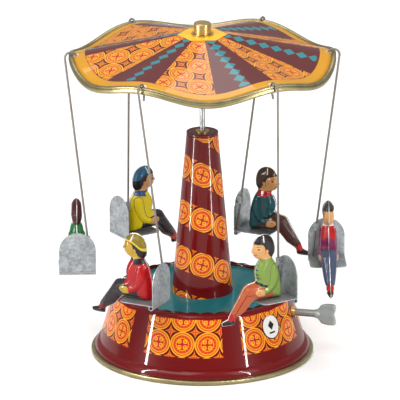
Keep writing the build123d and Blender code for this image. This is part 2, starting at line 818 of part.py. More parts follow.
# a gap of this pinion points straight up at the great wheel
second_pinion_turn = 90 + 180.0 / second_pinion_teeth
finish(wheel(second_pinion_teeth, gear_module, small_arbor_radius, second_pinion_turn,
             great_at - side_play, 0, second_height, wheel_thickness + 2 * side_play), "second_pinion")

crown_half = tooth_share * pi * gear_module / 2
crown_slope = sin(radians(pressure_angle))
crown_tip = crown_half - tooth_addendum * gear_module * crown_slope
crown_root = crown_half + (contrate_depth - tooth_addendum * gear_module) * crown_slope
with BuildPart() as crown_tooth:
    with BuildSketch(Plane.XY.offset(contrate_radius - contrate_face / 2)):
        with BuildLine():
            Polyline(
                (contrate_tip, crown_tip), (contrate_back + 2 * tooth_sunk, crown_root),
                (contrate_back + 2 * tooth_sunk, -crown_root), (contrate_tip, -crown_tip),
                close=True,
            )
        make_face()
    extrude(amount=contrate_face)

with BuildPart() as contrate_wheel:
    with BuildSketch(cross_plane(contrate_back, 0, second_height)):
        Circle(contrate_radius + contrate_face / 2)
        Circle(small_arbor_radius, mode=Mode.SUBTRACT)
    extrude(amount=wheel_thickness)
    for k in range(contrate_teeth):
        turned = crown_tooth.part.rotate(Axis.X, 360.0 * k / contrate_teeth)
        add(turned.translate((0, 0, second_height)))
finish(contrate_wheel.part, "contrate_wheel")

finish(wheel(governor_teeth, governor_module, small_arbor_radius, fly_angle,
             governor_at, 0, second_height, wheel_thickness), "governor_wheel")

finish(rod(small_arbor_radius, inner_plate_at, second_end, fly_side, fly_height), "fly_arbor")
fly_pinion_turn = fly_angle + 180 + 180.0 / fly_pinion_teeth
finish(wheel(fly_pinion_teeth, governor_module, small_arbor_radius, fly_pinion_turn,
             governor_at - side_play, fly_side, fly_height, wheel_thickness + 2 * side_play), "fly_pinion")

with BuildPart() as fly_vanes:
    vane_start = pillar_start + vane_gap
    with BuildSketch(cross_plane(vane_start, fly_side, fly_height)):
        Circle(small_arbor_radius + vane_hub)
        Rectangle(vane_sheet, 2 * vane_radius)
        Circle(small_arbor_radius, mode=Mode.SUBTRACT)
    extrude(amount=vane_length)
finish(fly_vanes.part, "fly_vanes")

print(len(finished), "pieces written")
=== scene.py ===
"""Looks of the wind-up tin swing carousel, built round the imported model."""
import json
import math
import bpy
import bmesh
import numpy as np
from mathutils import Matrix, Vector
from mathutils.geometry import delaunay_2d_cdt


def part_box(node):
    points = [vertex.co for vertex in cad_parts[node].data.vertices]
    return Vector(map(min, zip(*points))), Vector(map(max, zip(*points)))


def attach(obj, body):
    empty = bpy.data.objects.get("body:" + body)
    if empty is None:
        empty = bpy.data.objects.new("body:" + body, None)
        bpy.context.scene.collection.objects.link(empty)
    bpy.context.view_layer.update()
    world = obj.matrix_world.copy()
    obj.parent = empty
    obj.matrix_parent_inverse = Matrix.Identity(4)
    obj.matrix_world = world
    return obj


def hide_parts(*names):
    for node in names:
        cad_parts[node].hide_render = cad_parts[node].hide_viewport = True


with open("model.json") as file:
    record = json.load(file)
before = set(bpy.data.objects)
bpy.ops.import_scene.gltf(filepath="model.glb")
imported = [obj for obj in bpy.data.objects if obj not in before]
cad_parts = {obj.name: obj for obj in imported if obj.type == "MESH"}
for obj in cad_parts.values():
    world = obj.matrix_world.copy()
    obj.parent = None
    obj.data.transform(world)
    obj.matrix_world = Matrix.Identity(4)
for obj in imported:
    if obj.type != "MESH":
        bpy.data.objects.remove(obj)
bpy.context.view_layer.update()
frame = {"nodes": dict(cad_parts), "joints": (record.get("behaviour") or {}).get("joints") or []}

MM = 0.001
nodes = frame["nodes"]
joints = {joint["name"]: joint for joint in frame["joints"]}
RIDERS = 6
CAMERA_TURN = 13.6
CAMERA_RISE = 18.0
CAMERA_FAR = 6.0
BAND_START = 149.3
WAVE = 360 / RIDERS


# ------------------------------------------------------------------ places, from the frame
def swing_angle(number):
    """Angle of a swing's hook round the spindle, in degrees."""
    x, y, _ = joints[f"swing_{number}_sway"]["pos_m"]
    return math.degrees(math.atan2(y, x))


def local_points(node, angle):
    """A node's points in mm, turned back by angle: x outwards, y anticlockwise, z up."""
    turn = Matrix.Rotation(-math.radians(angle), 3, "Z")
    return np.array([turn @ v.co for v in nodes[node].data.vertices]) / MM


first_angle = swing_angle(1)
rim_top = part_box("canopy_rim")[1].z / MM
rim_points = local_points("canopy_rim", first_angle)
rim_radii = np.hypot(rim_points[:, 0], rim_points[:, 1])
BEAD_OUTER = float(rim_radii.max())
BEAD_INNER = float(rim_radii.min())
PLATE_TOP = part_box("canopy")[1].z / MM
bead_bottoms = rim_points[:, 2].min()
SHEET = 0.6
BEAD_HEIGHT = 6.0
BEAD_RISE = 0.9
RIDGE = rim_top - BEAD_RISE
LOBE = bead_bottoms + BEAD_HEIGHT - BEAD_RISE
PLATE_CORNER = 20.3
HOOK_MIDDLE = (BEAD_OUTER + BEAD_INNER) / 2
HOLE_INSET = 4.0
HOLE_RADIUS = 1.75
ROUNDEL_PITCH = 20.5
tray_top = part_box("base_tray")[1].z / MM
BASE_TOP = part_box("base_shell")[1].z / MM
COLUMN_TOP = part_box("column_shell")[1].z / MM
BASE_TOP_RADIUS = 68.4
COLUMN_LOW = tray_top
COLUMN_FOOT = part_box("column_shell")[1].x / MM
COLUMN_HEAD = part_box("column_cap")[1].x / MM

rider_box = local_points("rider_1", first_angle)
SEAT_MIDDLE = (rider_box[:, 0].min() + rider_box[:, 0].max()) / 2
CROWN = rider_box[:, 2].max()
RIDER_HEIGHT = 55.0
SEAT_TOP = CROWN - RIDER_HEIGHT


# ------------------------------------------------------------------ shader arithmetic
def srgb(red, green, blue):
    """A screen colour from 0 to 255 as the linear colour that shaders use."""
    def linear(value):
        value /= 255
        return value / 12.92 if value <= 0.04045 else ((value + 0.055) / 1.055) ** 2.4
    return linear(red), linear(green), linear(blue), 1.0


class Paint:
    """One material's node tree."""

    def __init__(self, name):
        self.material = bpy.data.materials.new(name)
        self.material.use_nodes = True
        self.tree = self.material.node_tree
        self.shader = self.tree.nodes["Principled BSDF"]
        place = self.tree.nodes.new("ShaderNodeTexCoord")
        self.object_place = place.outputs["Object"]
        apart = self.tree.nodes.new("ShaderNodeSeparateXYZ")
        self.tree.links.new(self.object_place, apart.inputs[0])
        self.x, self.y, self.z = (Value(self, apart.outputs[k]) * 1000 for k in range(3))

    def calc(self, operation, *terms):
        node = self.tree.nodes.new("ShaderNodeMath")
        node.operation = operation
        for socket, term in zip(node.inputs, terms):
            self.join(term, socket)
        return Value(self, node.outputs[0])

    def join(self, term, socket):
        if isinstance(term, Value):
            self.tree.links.new(term.socket, socket)
        else:
            socket.default_value = term

    def mix(self, share, under, over):
        """under where share is 0, over where it is 1."""
        node = self.tree.nodes.new("ShaderNodeMix")
        node.data_type = "RGBA"
        self.join(share, node.inputs[0])
        self.join(under, node.inputs[6])
        self.join(over, node.inputs[7])
        return Value(self, node.outputs[2])

    def noise(self, scale, detail=2.0):
        """Noise from 0 to 1 that moves with the piece; scale in waves per metre."""
        node = self.tree.nodes.new("ShaderNodeTexNoise")
        node.inputs["Scale"].default_value = scale
        node.inputs["Detail"].default_value = detail
        self.tree.links.new(self.object_place, node.inputs["Vector"])
        return Value(self, node.outputs[0])

    def bump(self, height, strength, distance=0.001):
        node = self.tree.nodes.new("ShaderNodeBump")
        node.inputs["Strength"].default_value = strength
        node.inputs["Distance"].default_value = distance
        self.join(height, node.inputs["Height"])
        self.tree.links.new(node.outputs[0], self.shader.inputs["Normal"])

    def set(self, **sockets):
        for key, term in sockets.items():
            self.join(term, self.shader.inputs[key.replace("_", " ")])
        return self


class Value:
    """A shader value that takes + - * / and comparisons."""

    def __init__(self, paint, socket):
        self.paint, self.socket = paint, socket

    def __add__(self, other):
        return self.paint.calc("ADD", self, other)

    def __radd__(self, other):
        return self.paint.calc("ADD", other, self)

    def __sub__(self, other):
        return self.paint.calc("SUBTRACT", self, other)

    def __rsub__(self, other):
        return self.paint.calc("SUBTRACT", other, self)

    def __mul__(self, other):
        return self.paint.calc("MULTIPLY", self, other)

    __rmul__ = __mul__

    def __truediv__(self, other):
        return self.paint.calc("DIVIDE", self, other)

    def __lt__(self, other):
        return self.paint.calc("LESS_THAN", self, other)

    def __gt__(self, other):
        return self.paint.calc("GREATER_THAN", self, other)

    def abs(self):
        return self.paint.calc("ABSOLUTE", self)

    def sqrt(self):
        return self.paint.calc("SQRT", self)

    def sin(self):
        return self.paint.calc("SINE", self)

    def cos(self):
        return self.paint.calc("COSINE", self)

    def wrap(self, period):
        """Folded into half a period either side of zero."""
        return self.paint.calc("WRAP", self, -period / 2, period / 2)

    def least(self, other):
        return self.paint.calc("MINIMUM", self, other)

    def most(self, other):
        return self.paint.calc("MAXIMUM", self, other)


# ------------------------------------------------------------------ printed patterns
MAROON = srgb(108, 6, 8)
BORDER = srgb(196, 138, 22)
CANOPY_MAROON = srgb(86, 28, 28)
TEAL_PRINT = srgb(42, 122, 130)
BRIGHT = {"gold": srgb(248, 170, 36), "orange": srgb(236, 112, 26), "deep": srgb(226, 84, 24),
          "red": srgb(196, 24, 22), "yellow": srgb(240, 190, 36), "line": srgb(96, 10, 14),
          "ground": srgb(96, 8, 12)}
MELLOW = {"gold": srgb(218, 154, 34), "orange": srgb(196, 106, 34), "deep": srgb(206, 124, 34),
          "red": srgb(172, 34, 26), "yellow": srgb(222, 164, 40), "line": srgb(104, 34, 26),
          "ground": srgb(84, 24, 22)}


def polar(paint):
    """Radius in mm and angle in degrees round the spindle."""
    radius = (paint.x * paint.x + paint.y * paint.y).sqrt()
    angle = paint.calc("ARCTAN2", paint.y, paint.x) * (180 / math.pi)
    return radius, angle


def roundels(paint, u, v, pitch, inks):
    """Square lattice of roundels with stars between them, at u and v in mm."""
    size = pitch / 2
    cu, cv = u.wrap(pitch), v.wrap(pitch)
    reach = (cu * cu + cv * cv).sqrt() / size
    au, av = cu.abs() / size, cv.abs() / size
    # star in the corners of the cells
    su, sv = (1 - au), (1 - av)
    star = su.most(0).sqrt() + sv.most(0).sqrt()
    colour = paint.mix(star < 0.80, inks["ground"], inks["orange"])
    colour = paint.mix(star < 0.56, colour, inks["gold"])
    colour = paint.mix(star < 0.44, colour, inks["deep"])
    colour = paint.mix((su.least(sv) < 0.03) * (star < 0.62), colour, inks["red"])
    # rings, from the outside in
    for edge, ink in ((1.0, "gold"), (0.91, "orange"), (0.86, "line"), (0.84, "orange"), (0.80, "gold"),
                      (0.735, "orange"), (0.72, "red"), (0.69, "deep"), (0.52, "gold"), (0.47, "deep")):
        colour = paint.mix(reach < edge, colour, inks[ink])
    # dotted ring
    around = paint.calc("ARCTAN2", cv, cu)
    dots = ((around * 16).sin() > 0.0) * (reach > 0.56) * (reach < 0.64)
    colour = paint.mix(dots, colour, inks["red"])
    # four petals round a cross
    petal = ((au - 0.21) * (au - 0.21) + (av - 0.21) * (av - 0.21)).sqrt()
    inner = reach < 0.47
    colour = paint.mix(inner * (petal < 0.165), colour, inks["yellow"])
    colour = paint.mix(inner * (petal < 0.10), colour, inks["orange"])
    colour = paint.mix((au.least(av) < 0.065) * (reach < 0.44), colour, inks["red"])
    return paint.mix(au.most(av) < 0.12, colour, inks["red"])


def lacquer(paint, colour, roughness=0.30, waviness=0.10):
    """Glossy lacquer over tinplate, with faint waves and print grain."""
    grain = paint.noise(9000, 1.0)
    tone = paint.noise(60, 3.0)
    worn = paint.mix(tone * 0.10 + grain * 0.08, colour, srgb(60, 20, 18))
    paint.set(Base_Color=worn, Roughness=roughness + tone * 0.12)
    paint.set(Coat_Weight=0.36, Coat_Roughness=0.03, Specular_IOR_Level=0.05)
    paint.bump(paint.noise(45, 2.0), waviness, 0.002)
    return paint.material


def skirt_print():
    """Six panels of roundels on dark red, below the base's shoulder."""
    paint = Paint("printed_skirt")
    radius, angle = polar(paint)
    panel_turn = first_angle - 46.3 + 1.6
    turned = (angle - panel_turn).wrap(WAVE)
    u = turned * (math.pi / 180) * radius
    v = (BASE_TOP - 3.6 - paint.z) * 1.047
    rows = ROUNDEL_PITCH * 1.53
    colour = roundels(paint, u, v, ROUNDEL_PITCH, BRIGHT)
    on_panel = (turned.abs() < 24.0) * (v > 0.0) * (v < rows)
    colour = paint.mix(on_panel, MAROON, colour)
    return lacquer(paint, colour)


def column_print():
    """A band of roundels that winds down a dark red cone, flatter across the front."""
    paint = Paint("printed_column")
    radius, angle = polar(paint)
    lead, band, front = 37.4, 20.0, CAMERA_TURN - 90
    lean = math.atan(lead / (2 * math.pi * 19))
    bulge = ((angle - front + 10) * (math.pi / 180)).cos() * 6.0
    rise = (paint.z - BAND_START + (angle - front) * (lead / 360) - bulge).wrap(lead)
    reach = radius + rise * ((COLUMN_FOOT - COLUMN_HEAD) / (COLUMN_TOP - COLUMN_LOW))
    arc = (angle - front).wrap(360) * (math.pi / 180) * reach
    along = arc / math.cos(lean) - rise * math.sin(lean)
    colour = roundels(paint, along, rise * math.cos(lean), ROUNDEL_PITCH, BRIGHT)
    colour = paint.mix(rise.abs() > band / 2, colour, MAROON)
    return lacquer(paint, colour)


def canopy_print():
    """Twelve sectors: roundels and plain maroon with a chain of diamonds, in a golden border."""
    paint = Paint("printed_canopy")
    radius, angle = polar(paint)
    from_hook = angle - first_angle
    pattern_side = (from_hook - 18.7).wrap(WAVE)
    plain_side = (from_hook - 48.7).wrap(WAVE)
    lean = math.radians(54)
    along = pattern_side * (math.pi / 180)
    far, side = radius * along.cos(), radius * along.sin()
    u = far * math.cos(lean) + side * math.sin(lean)
    v = side * math.cos(lean) - far * math.sin(lean)
    print_colour = roundels(paint, u + 4.0, v, ROUNDEL_PITCH, MELLOW)
    chain_turn = plain_side * (math.pi / 180)
    chain_far = (radius * chain_turn.cos() - 29.7).wrap(10.3)
    chain_side = radius * chain_turn.sin()
    diamond = (chain_far.abs() + chain_side.abs()) < 5.0
    within = (radius > 19.0) * (radius < 93.5)
    plain = paint.mix(diamond * within, CANOPY_MAROON, TEAL_PRINT)
    colour = paint.mix(pattern_side.abs() < 15.0, plain, print_colour)
    edge = 95.4
    colour = paint.mix(radius > edge - 0.5, colour, srgb(120, 60, 20))
    colour = paint.mix(radius > edge, colour, BORDER)
    # painted highlight round the hook holes: a near-white ragged patch standing in for the glint at the
    # holes
    off_hole = radius - (HOOK_MIDDLE - HOLE_INSET)
    across = from_hook.wrap(WAVE) * (math.pi / 180) * radius
    hole_glint = (off_hole * off_hole + across * across).sqrt() + paint.noise(900, 2.0) * 1.6
    colour = paint.mix(hole_glint < 3.4, colour, srgb(232, 228, 216))
    # hexagonal plate in the middle
    flat = ((angle - first_angle - WAVE / 2).wrap(WAVE) * (math.pi / 180)).cos() * radius
    apothem = PLATE_CORNER * math.cos(math.radians(WAVE / 2))
    colour = paint.mix(flat < apothem + 0.45, colour, srgb(96, 50, 24))
    colour = paint.mix(flat < apothem, colour, srgb(240, 180, 34))
    return lacquer(paint, colour, waviness=0.06)


def plain_lacquer(name, colour, roughness=0.3, dark=(40, 14, 12)):
    """Glossy lacquer of one colour, slightly worn towards dark."""
    paint = Paint(name)
    tone = paint.noise(80, 3.0)
    worn = paint.mix(tone * 0.14, colour, srgb(*dark))
    paint.set(Base_Color=worn, Roughness=roughness + tone * 0.15)
    paint.set(Coat_Weight=0.22, Coat_Roughness=0.04, Specular_IOR_Level=0.12)
    paint.bump(paint.noise(60, 2.0), 0.08, 0.002)
    return paint.material


def bare_metal(name, colour, dark, roughness=0.25, patch=70, metallic=1.0):
    """Bare metal, mottled between two colours."""
    paint = Paint(name)
    tone = paint.noise(patch, 4.0)
    fine = paint.noise(patch * 9, 2.0)
    paint.set(Base_Color=paint.mix(tone, colour, dark), Roughness=roughness + fine * 0.2)
    paint.set(Metallic=metallic)
    paint.bump(fine, 0.15, 0.0004)
    return paint.material


def galvanised(name):
    """Zinc-coated sheet with a crystal spangle."""
    paint = Paint(name)
    cells = paint.tree.nodes.new("ShaderNodeTexVoronoi")
    cells.inputs["Scale"].default_value = 520
    paint.tree.links.new(paint.object_place, cells.inputs["Vector"])
    apart = paint.tree.nodes.new("ShaderNodeSeparateColor")
    paint.tree.links.new(cells.outputs["Color"], apart.inputs[0])
    spangle = Value(paint, apart.outputs[0])
    tone = paint.noise(120, 3.0)
    colour = paint.mix(spangle * 0.3 + tone * 0.7, srgb(190, 194, 196), srgb(92, 98, 102))
    paint.set(Base_Color=colour, Roughness=0.34 + spangle * 0.18)
    paint.set(Metallic=0.7)
    paint.bump(tone, 0.25, 0.0008)
    return paint.material


def cast_metal():
    """Dull grey die casting with a sandy skin."""
    paint = Paint("cast_grey")
    tone = paint.noise(140, 4.0)
    sand = paint.noise(1600, 3.0)
    paint.set(Base_Color=paint.mix(tone, srgb(160, 164, 162), srgb(124, 130, 128)),
              Roughness=0.42 + sand * 0.2)
    paint.set(Metallic=0.6)
    paint.bump(sand, 0.35, 0.0006)
    return paint.material


SKIRT = skirt_print()
COLUMN = column_print()
CANOPY = canopy_print()
TEAL = plain_lacquer("tray_teal", srgb(0, 104, 112), 0.16, (0, 40, 46))
CAP_RED = plain_lacquer("cap_maroon", srgb(104, 34, 26), 0.3)
# crimped tray edge: dark maroon, partly its own colour and partly painted shade between lip and tray
CRIMP_SHADE = plain_lacquer("crimp_painted_shade", srgb(58, 22, 22), 0.35)
BRASS = bare_metal("brass", srgb(206, 180, 124), srgb(150, 124, 74), 0.24)
RIM = bare_metal("worn_rim", srgb(168, 156, 116), srgb(104, 94, 64), 0.26, 90)
STEEL = bare_metal("steel", srgb(158, 158, 156), srgb(104, 104, 102), 0.26)
WIRE = bare_metal("wire", srgb(134, 128, 122), srgb(88, 82, 78), 0.45, 60, metallic=0.4)
ZINC = galvanised("galvanised")
TIN = bare_metal("bare_tin", srgb(214, 214, 210), srgb(170, 170, 166), 0.25)
CAST = cast_metal()
GOLD_BACK = bare_metal("gold_lacquer", srgb(206, 176, 112), srgb(176, 142, 84), 0.3, 50)


# ------------------------------------------------------------------ mesh helpers
def piece(name, points, faces, body, slot, *materials, smooth=True):
    """A mesh piece in the row frame, from points in mm."""
    mesh = bpy.data.meshes.new(name)
    mesh.from_pydata([Vector(p) * MM for p in points], [], faces)
    mesh.update()
    for material in materials:
        mesh.materials.append(material)
    if smooth:
        mesh.polygons.foreach_set("use_smooth", [True] * len(mesh.polygons))
    thing = bpy.data.objects.new(name, mesh)
    bpy.context.scene.collection.objects.link(thing)
    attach(thing, body)
    return thing


def paint_node(name, material):
    """Give a CAD node its material."""
    thing = nodes[name]
    thing.data.materials.clear()
    thing.data.materials.append(material)


def apply_modifiers(thing):
    """Put a piece's modifiers into its mesh."""
    graph = bpy.context.evaluated_depsgraph_get()
    mesh = bpy.data.meshes.new_from_object(thing.evaluated_get(graph))
    thing.modifiers.clear()
    thing.data = mesh


def turned(point, angle):
    """A point turned about the spindle."""
    c, s = math.cos(math.radians(angle)), math.sin(math.radians(angle))
    x, y, z = point
    return c * x - s * y, s * x + c * y, z


def edge_height(angle):
    """Height of the canopy's edge, at an angle from a hook."""
    middle, swing = (RIDGE + LOBE) / 2, (RIDGE - LOBE) / 2
    return middle + swing * math.cos(math.radians(RIDERS * angle))


# ------------------------------------------------------------------ canopy
def canopy_sheet():
    """The wavy canopy: a flat hexagon, and straight lines from its sides to the wavy edge."""
    across, outwards = 30, 26
    points, faces = [(0, 0, PLATE_TOP)], []
    per_ring = across * RIDERS
    for ring in range(outwards + 1):
        share = ring / outwards
        for step in range(per_ring):
            sector, local = divmod(step, across)
            local /= across
            a = turned((PLATE_CORNER, 0, PLATE_TOP), WAVE * sector)
            b = turned((PLATE_CORNER, 0, PLATE_TOP), WAVE * (sector + 1))
            side = [a[k] + (b[k] - a[k]) * local for k in range(3)]
            angle = WAVE * (sector + local)
            edge = turned((BEAD_INNER + 0.3, 0, edge_height(angle)), angle)
            point = [side[k] + (edge[k] - side[k]) * share for k in range(3)]
            points.append(turned(point, first_angle))
    for step in range(per_ring):
        after = (step + 1) % per_ring
        faces.append((0, 1 + step, 1 + after))
        for ring in range(outwards):
            low, high = 1 + ring * per_ring, 1 + (ring + 1) * per_ring
            faces.append((low + step, high + step, high + after, low + after))
    sheet = piece("canopy_sheet", points, faces, "carousel", "printed_canopy", CANOPY, GOLD_BACK)
    thick = sheet.modifiers.new("thickness", "SOLIDIFY")
    thick.thickness = SHEET * MM
    thick.offset = -1
    thick.material_offset = 1
    thick.material_offset_rim = 1
    cutter_mesh = bpy.data.meshes.new("hook_holes")
    holes = bmesh.new()
    for k in range(RIDERS):
        place = Matrix.Rotation(math.radians(first_angle + WAVE * k), 4, "Z") @ Matrix.Translation(
            Vector((HOOK_MIDDLE - HOLE_INSET, 0, RIDGE)) * MM)
        bmesh.ops.create_cone(holes, cap_ends=True, segments=20, radius1=HOLE_RADIUS * MM,
                              radius2=HOLE_RADIUS * MM, depth=12 * MM, matrix=place)
    holes.to_mesh(cutter_mesh)
    holes.free()
    cutter = bpy.data.objects.new("hook_holes", cutter_mesh)
    bpy.context.scene.collection.objects.link(cutter)
    cut = sheet.modifiers.new("holes", "BOOLEAN")
    cut.object = cutter
    cut.solver = "EXACT"
    cut.operation = "DIFFERENCE"
    apply_modifiers(sheet)
    bpy.data.objects.remove(cutter)
    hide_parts("canopy")
    return sheet


def bead_profile():
    """The rolled edge's section: (outwards, up) from the bead's middle, anticlockwise."""
    half_width = (BEAD_OUTER - BEAD_INNER) / 2
    half_height = BEAD_HEIGHT / 2
    band = 1.5
    profile = []
    for step in range(14):
        turn = math.radians(-90 + 180 * step / 13)
        x = half_width * abs(math.cos(turn)) ** 0.7
        z = -band / 2 + (half_height - band / 2) * math.sin(turn)
        profile.append((x * 0.99, z))
    profile[-1] = (half_width * 0.72, half_height - band)
    groove = half_height - band
    profile += [(half_width * 0.62, groove + 0.12), (half_width * 0.86, groove + 0.3),
                (half_width * 0.90, groove + 0.8), (half_width * 0.66, half_height - 0.15),
                (half_width * 0.3, half_height), (-half_width * 0.5, half_height),
                (-half_width * 0.95, half_height - 0.5), (-half_width * 0.95, -half_height * 0.5),
                (-half_width * 0.6, -half_height * 0.92)]
    return profile


def ring_sweep(name, profile, height, middle, body, slot, material, steps=360):
    """A closed ring about the spindle whose height follows height(angle from a hook)."""
    points, faces, count = [], [], len(profile)
    for step in range(steps):
        angle = 360 * step / steps
        base = height(angle)
        for x, z in profile:
            points.append(turned((middle + x, 0, base + z), angle + first_angle))
    for step in range(steps):
        after = (step + 1) % steps
        for k in range(count):
            k2 = (k + 1) % count
            faces.append((step * count + k, after * count + k, after * count + k2, step * count + k2))
    return piece(name, points, faces, body, slot, material)


def canopy_bead():
    """The canopy's rolled edge, in place of the plain CAD ring."""
    lift = BEAD_RISE - BEAD_HEIGHT / 2
    bead = ring_sweep("rolled_edge", bead_profile(), lambda a: edge_height(a) + lift, HOOK_MIDDLE,
                      "carousel", "rim_brass", RIM)
    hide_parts("canopy_rim")


# ------------------------------------------------------------------ riders
def closed_curve(points, steps=4):
    """A smooth closed curve through points."""
    result, count = [], len(points)
    for k in range(count):
        p0, p1, p2, p3 = (np.array(points[(k + d) % count], float) for d in (-1, 0, 1, 2))
        for step in range(steps):
            t = step / steps
            result.append(0.5 * (2 * p1 + (p2 - p0) * t + (2 * p0 - 5 * p1 + 4 * p2 - p3) * t * t
                                 + (3 * p1 - p0 - 3 * p2 + p3) * t ** 3))
    return np.array(result)


def stroke(points, width):
    """A thin closed outline along an open line."""
    line = np.array(points, float)
    along = np.gradient(line, axis=0)
    along /= np.linalg.norm(along, axis=1)[:, None]
    side = np.stack([-along[:, 1], along[:, 0]], 1) * width / 2
    return np.concatenate([line + side, (line - side)[::-1]])


def oval(x, y, wide, high=None, turns=10):
    high = high or wide
    way = [2 * math.pi * k / turns for k in range(turns)]
    return np.array([(x + wide * math.cos(turn), y + high * math.sin(turn)) for turn in way])


def inside(points, loop):
    """Which points lie in a closed loop."""
    x, y = points[:, 0], points[:, 1]
    result = np.zeros(len(points), bool)
    x1, y1 = loop[:, 0], loop[:, 1]
    x2, y2 = np.roll(x1, -1), np.roll(y1, -1)
    for a, b, c, d in zip(x1, y1, x2, y2):
        if b == d:
            continue
        crosses = ((b > y) != (d > y)) & (x < (c - a) * (y - b) / (d - b) + a)
        result ^= crosses
    return result


def distance(points, loop):
    """Distance from each point to a loop's outline."""
    start, end = loop, np.roll(loop, -1, axis=0)
    best = np.full(len(points), 1e9)
    for a, b in zip(start, end):
        way = b - a
        size = max(float(way @ way), 1e-9)
        t = np.clip(((points - a) @ way) / size, 0, 1)
        best = np.minimum(best, np.linalg.norm(points - (a + t[:, None] * way), axis=1))
    return best


def smoothstep(value):
    value = np.clip(value, 0, 1)
    return value * value * (3 - 2 * value)


OUTLINE = [(-7.3, 0.3), (-7.8, 9), (-7.2, 17), (-5.6, 24), (-3.2, 29.5), (-1.0, 33.0), (-1.0, 35.0),
           (-2.6, 37.6), (-3.0, 41.5), (-2.4, 46), (-0.2, 50.6), (3.6, 53.6), (8.4, 54.6), (12.8, 53.2),
           (16.0, 50.0), (17.5, 46.6), (17.6, 44.2), (19.3, 41.0), (17.5, 39.7), (17.7, 38.5),
           (16.6, 37.4), (14.6, 35.2), (12.0, 34.0), (12.0, 32.2), (14.0, 28.6), (15.4, 24.6),
           (15.4, 20.4), (14.4, 17.4), (16.2, 15.4), (21.4, 14.6), (25.4, 12.8), (27.6, 9.8),
           (31.0, 4.6), (39.4, -7.6), (41.2, -11.6), (46.6, -13.4), (47.2, -15.4), (45.6, -17.0),
           (37.4, -17.3), (35.2, -16.4), (34.4, -12.8), (30.6, -10.4), (26.4, -8.0), (22.6, -3.6),
           (18.2, 0.3), (10.0, 0.5), (2.0, 0.4)]

FACE = [(1.6, 33.0), (2.4, 36.6), (5.2, 39.2), (7.6, 41.8), (9.6, 45.6), (13.4, 46.8), (20, 47.6),
        (22, 40), (18, 33), (11.6, 31.8), (6.0, 31.4)]
COLLAR = [(-2.2, 32.2), (1.6, 34.8), (6.2, 34.0), (12.2, 34.6), (13.6, 32.4), (9.4, 29.6), (3.0, 29.8),
          (-2.8, 30.8)]
JACKET = [(-9, -1), (-9.6, 20), (-8, 28), (-3, 33.6), (3.4, 31.6), (9.6, 31.4), (14.0, 33.4),
          (19, 28), (19, 18), (15.6, 16.2), (14.6, 12.2), (4.6, 9.6), (3.0, 4.0), (4, -1)]
TROUSERS = [(2.6, -1), (2.4, 5.2), (5.4, 9.4), (14.8, 12.4), (15.6, 16.4), (22, 16.6), (30, 12), (36, 4),
            (41.4, -5.4), (33.4, -11.4), (26, -12), (18, -2)]
SOCK = [(33.4, -11.4), (40.8, -5.6), (43, -11.0), (40.2, -13.4), (33.8, -14.4), (32, -13)]
SHOE = [(33, -14.2), (40.2, -13.4), (43.4, -10.8), (50, -12), (49, -19), (34, -19)]
ARM = [(-3.4, 27.2), (-0.4, 29.6), (3.0, 28.6), (4.6, 24.4), (5.2, 18.0), (7.2, 12.6), (11.8, 9.6),
       (10.4, 5.6), (5.6, 6.6), (1.0, 9.4), (-2.4, 14.6), (-4.2, 21.0)]
HAND = [(10.2, 5.4), (11.6, 9.8), (14.6, 10.6), (18.4, 10.0), (19.0, 7.4), (16.6, 5.2), (13.0, 4.6)]
HAIR = [(-5, 34.4), (-5, 58), (22, 58), (19, 48.8), (14.6, 47.4), (10.2, 46.8), (8.4, 43.6),
        (7.6, 40.2), (5.0, 38.6), (3.4, 36.2), (0.0, 34.6)]
CAP = [(-5, 42.0), (-5, 58), (22, 58), (20, 48.4), (16.0, 48.2), (10.0, 47.4), (4.6, 45.0), (0.4, 42.4)]
BAND = [(-4, 40.4), (-4, 42.8), (0.6, 43.8), (5.0, 46.4), (10.0, 48.8), (20, 49.8), (20, 48.0),
        (10.4, 47.0), (5.2, 44.6), (0.8, 42.0)]
BELT = [(2.2, 9.4), (2.4, 11.2), (9.0, 13.4), (15.6, 16.6), (17.0, 16.4), (15.0, 13.8), (9.2, 11.4)]
LAPEL = [(6.4, 31.8), (12.4, 33.6), (15.6, 29.4), (13.4, 22.0), (11.0, 26.0)]


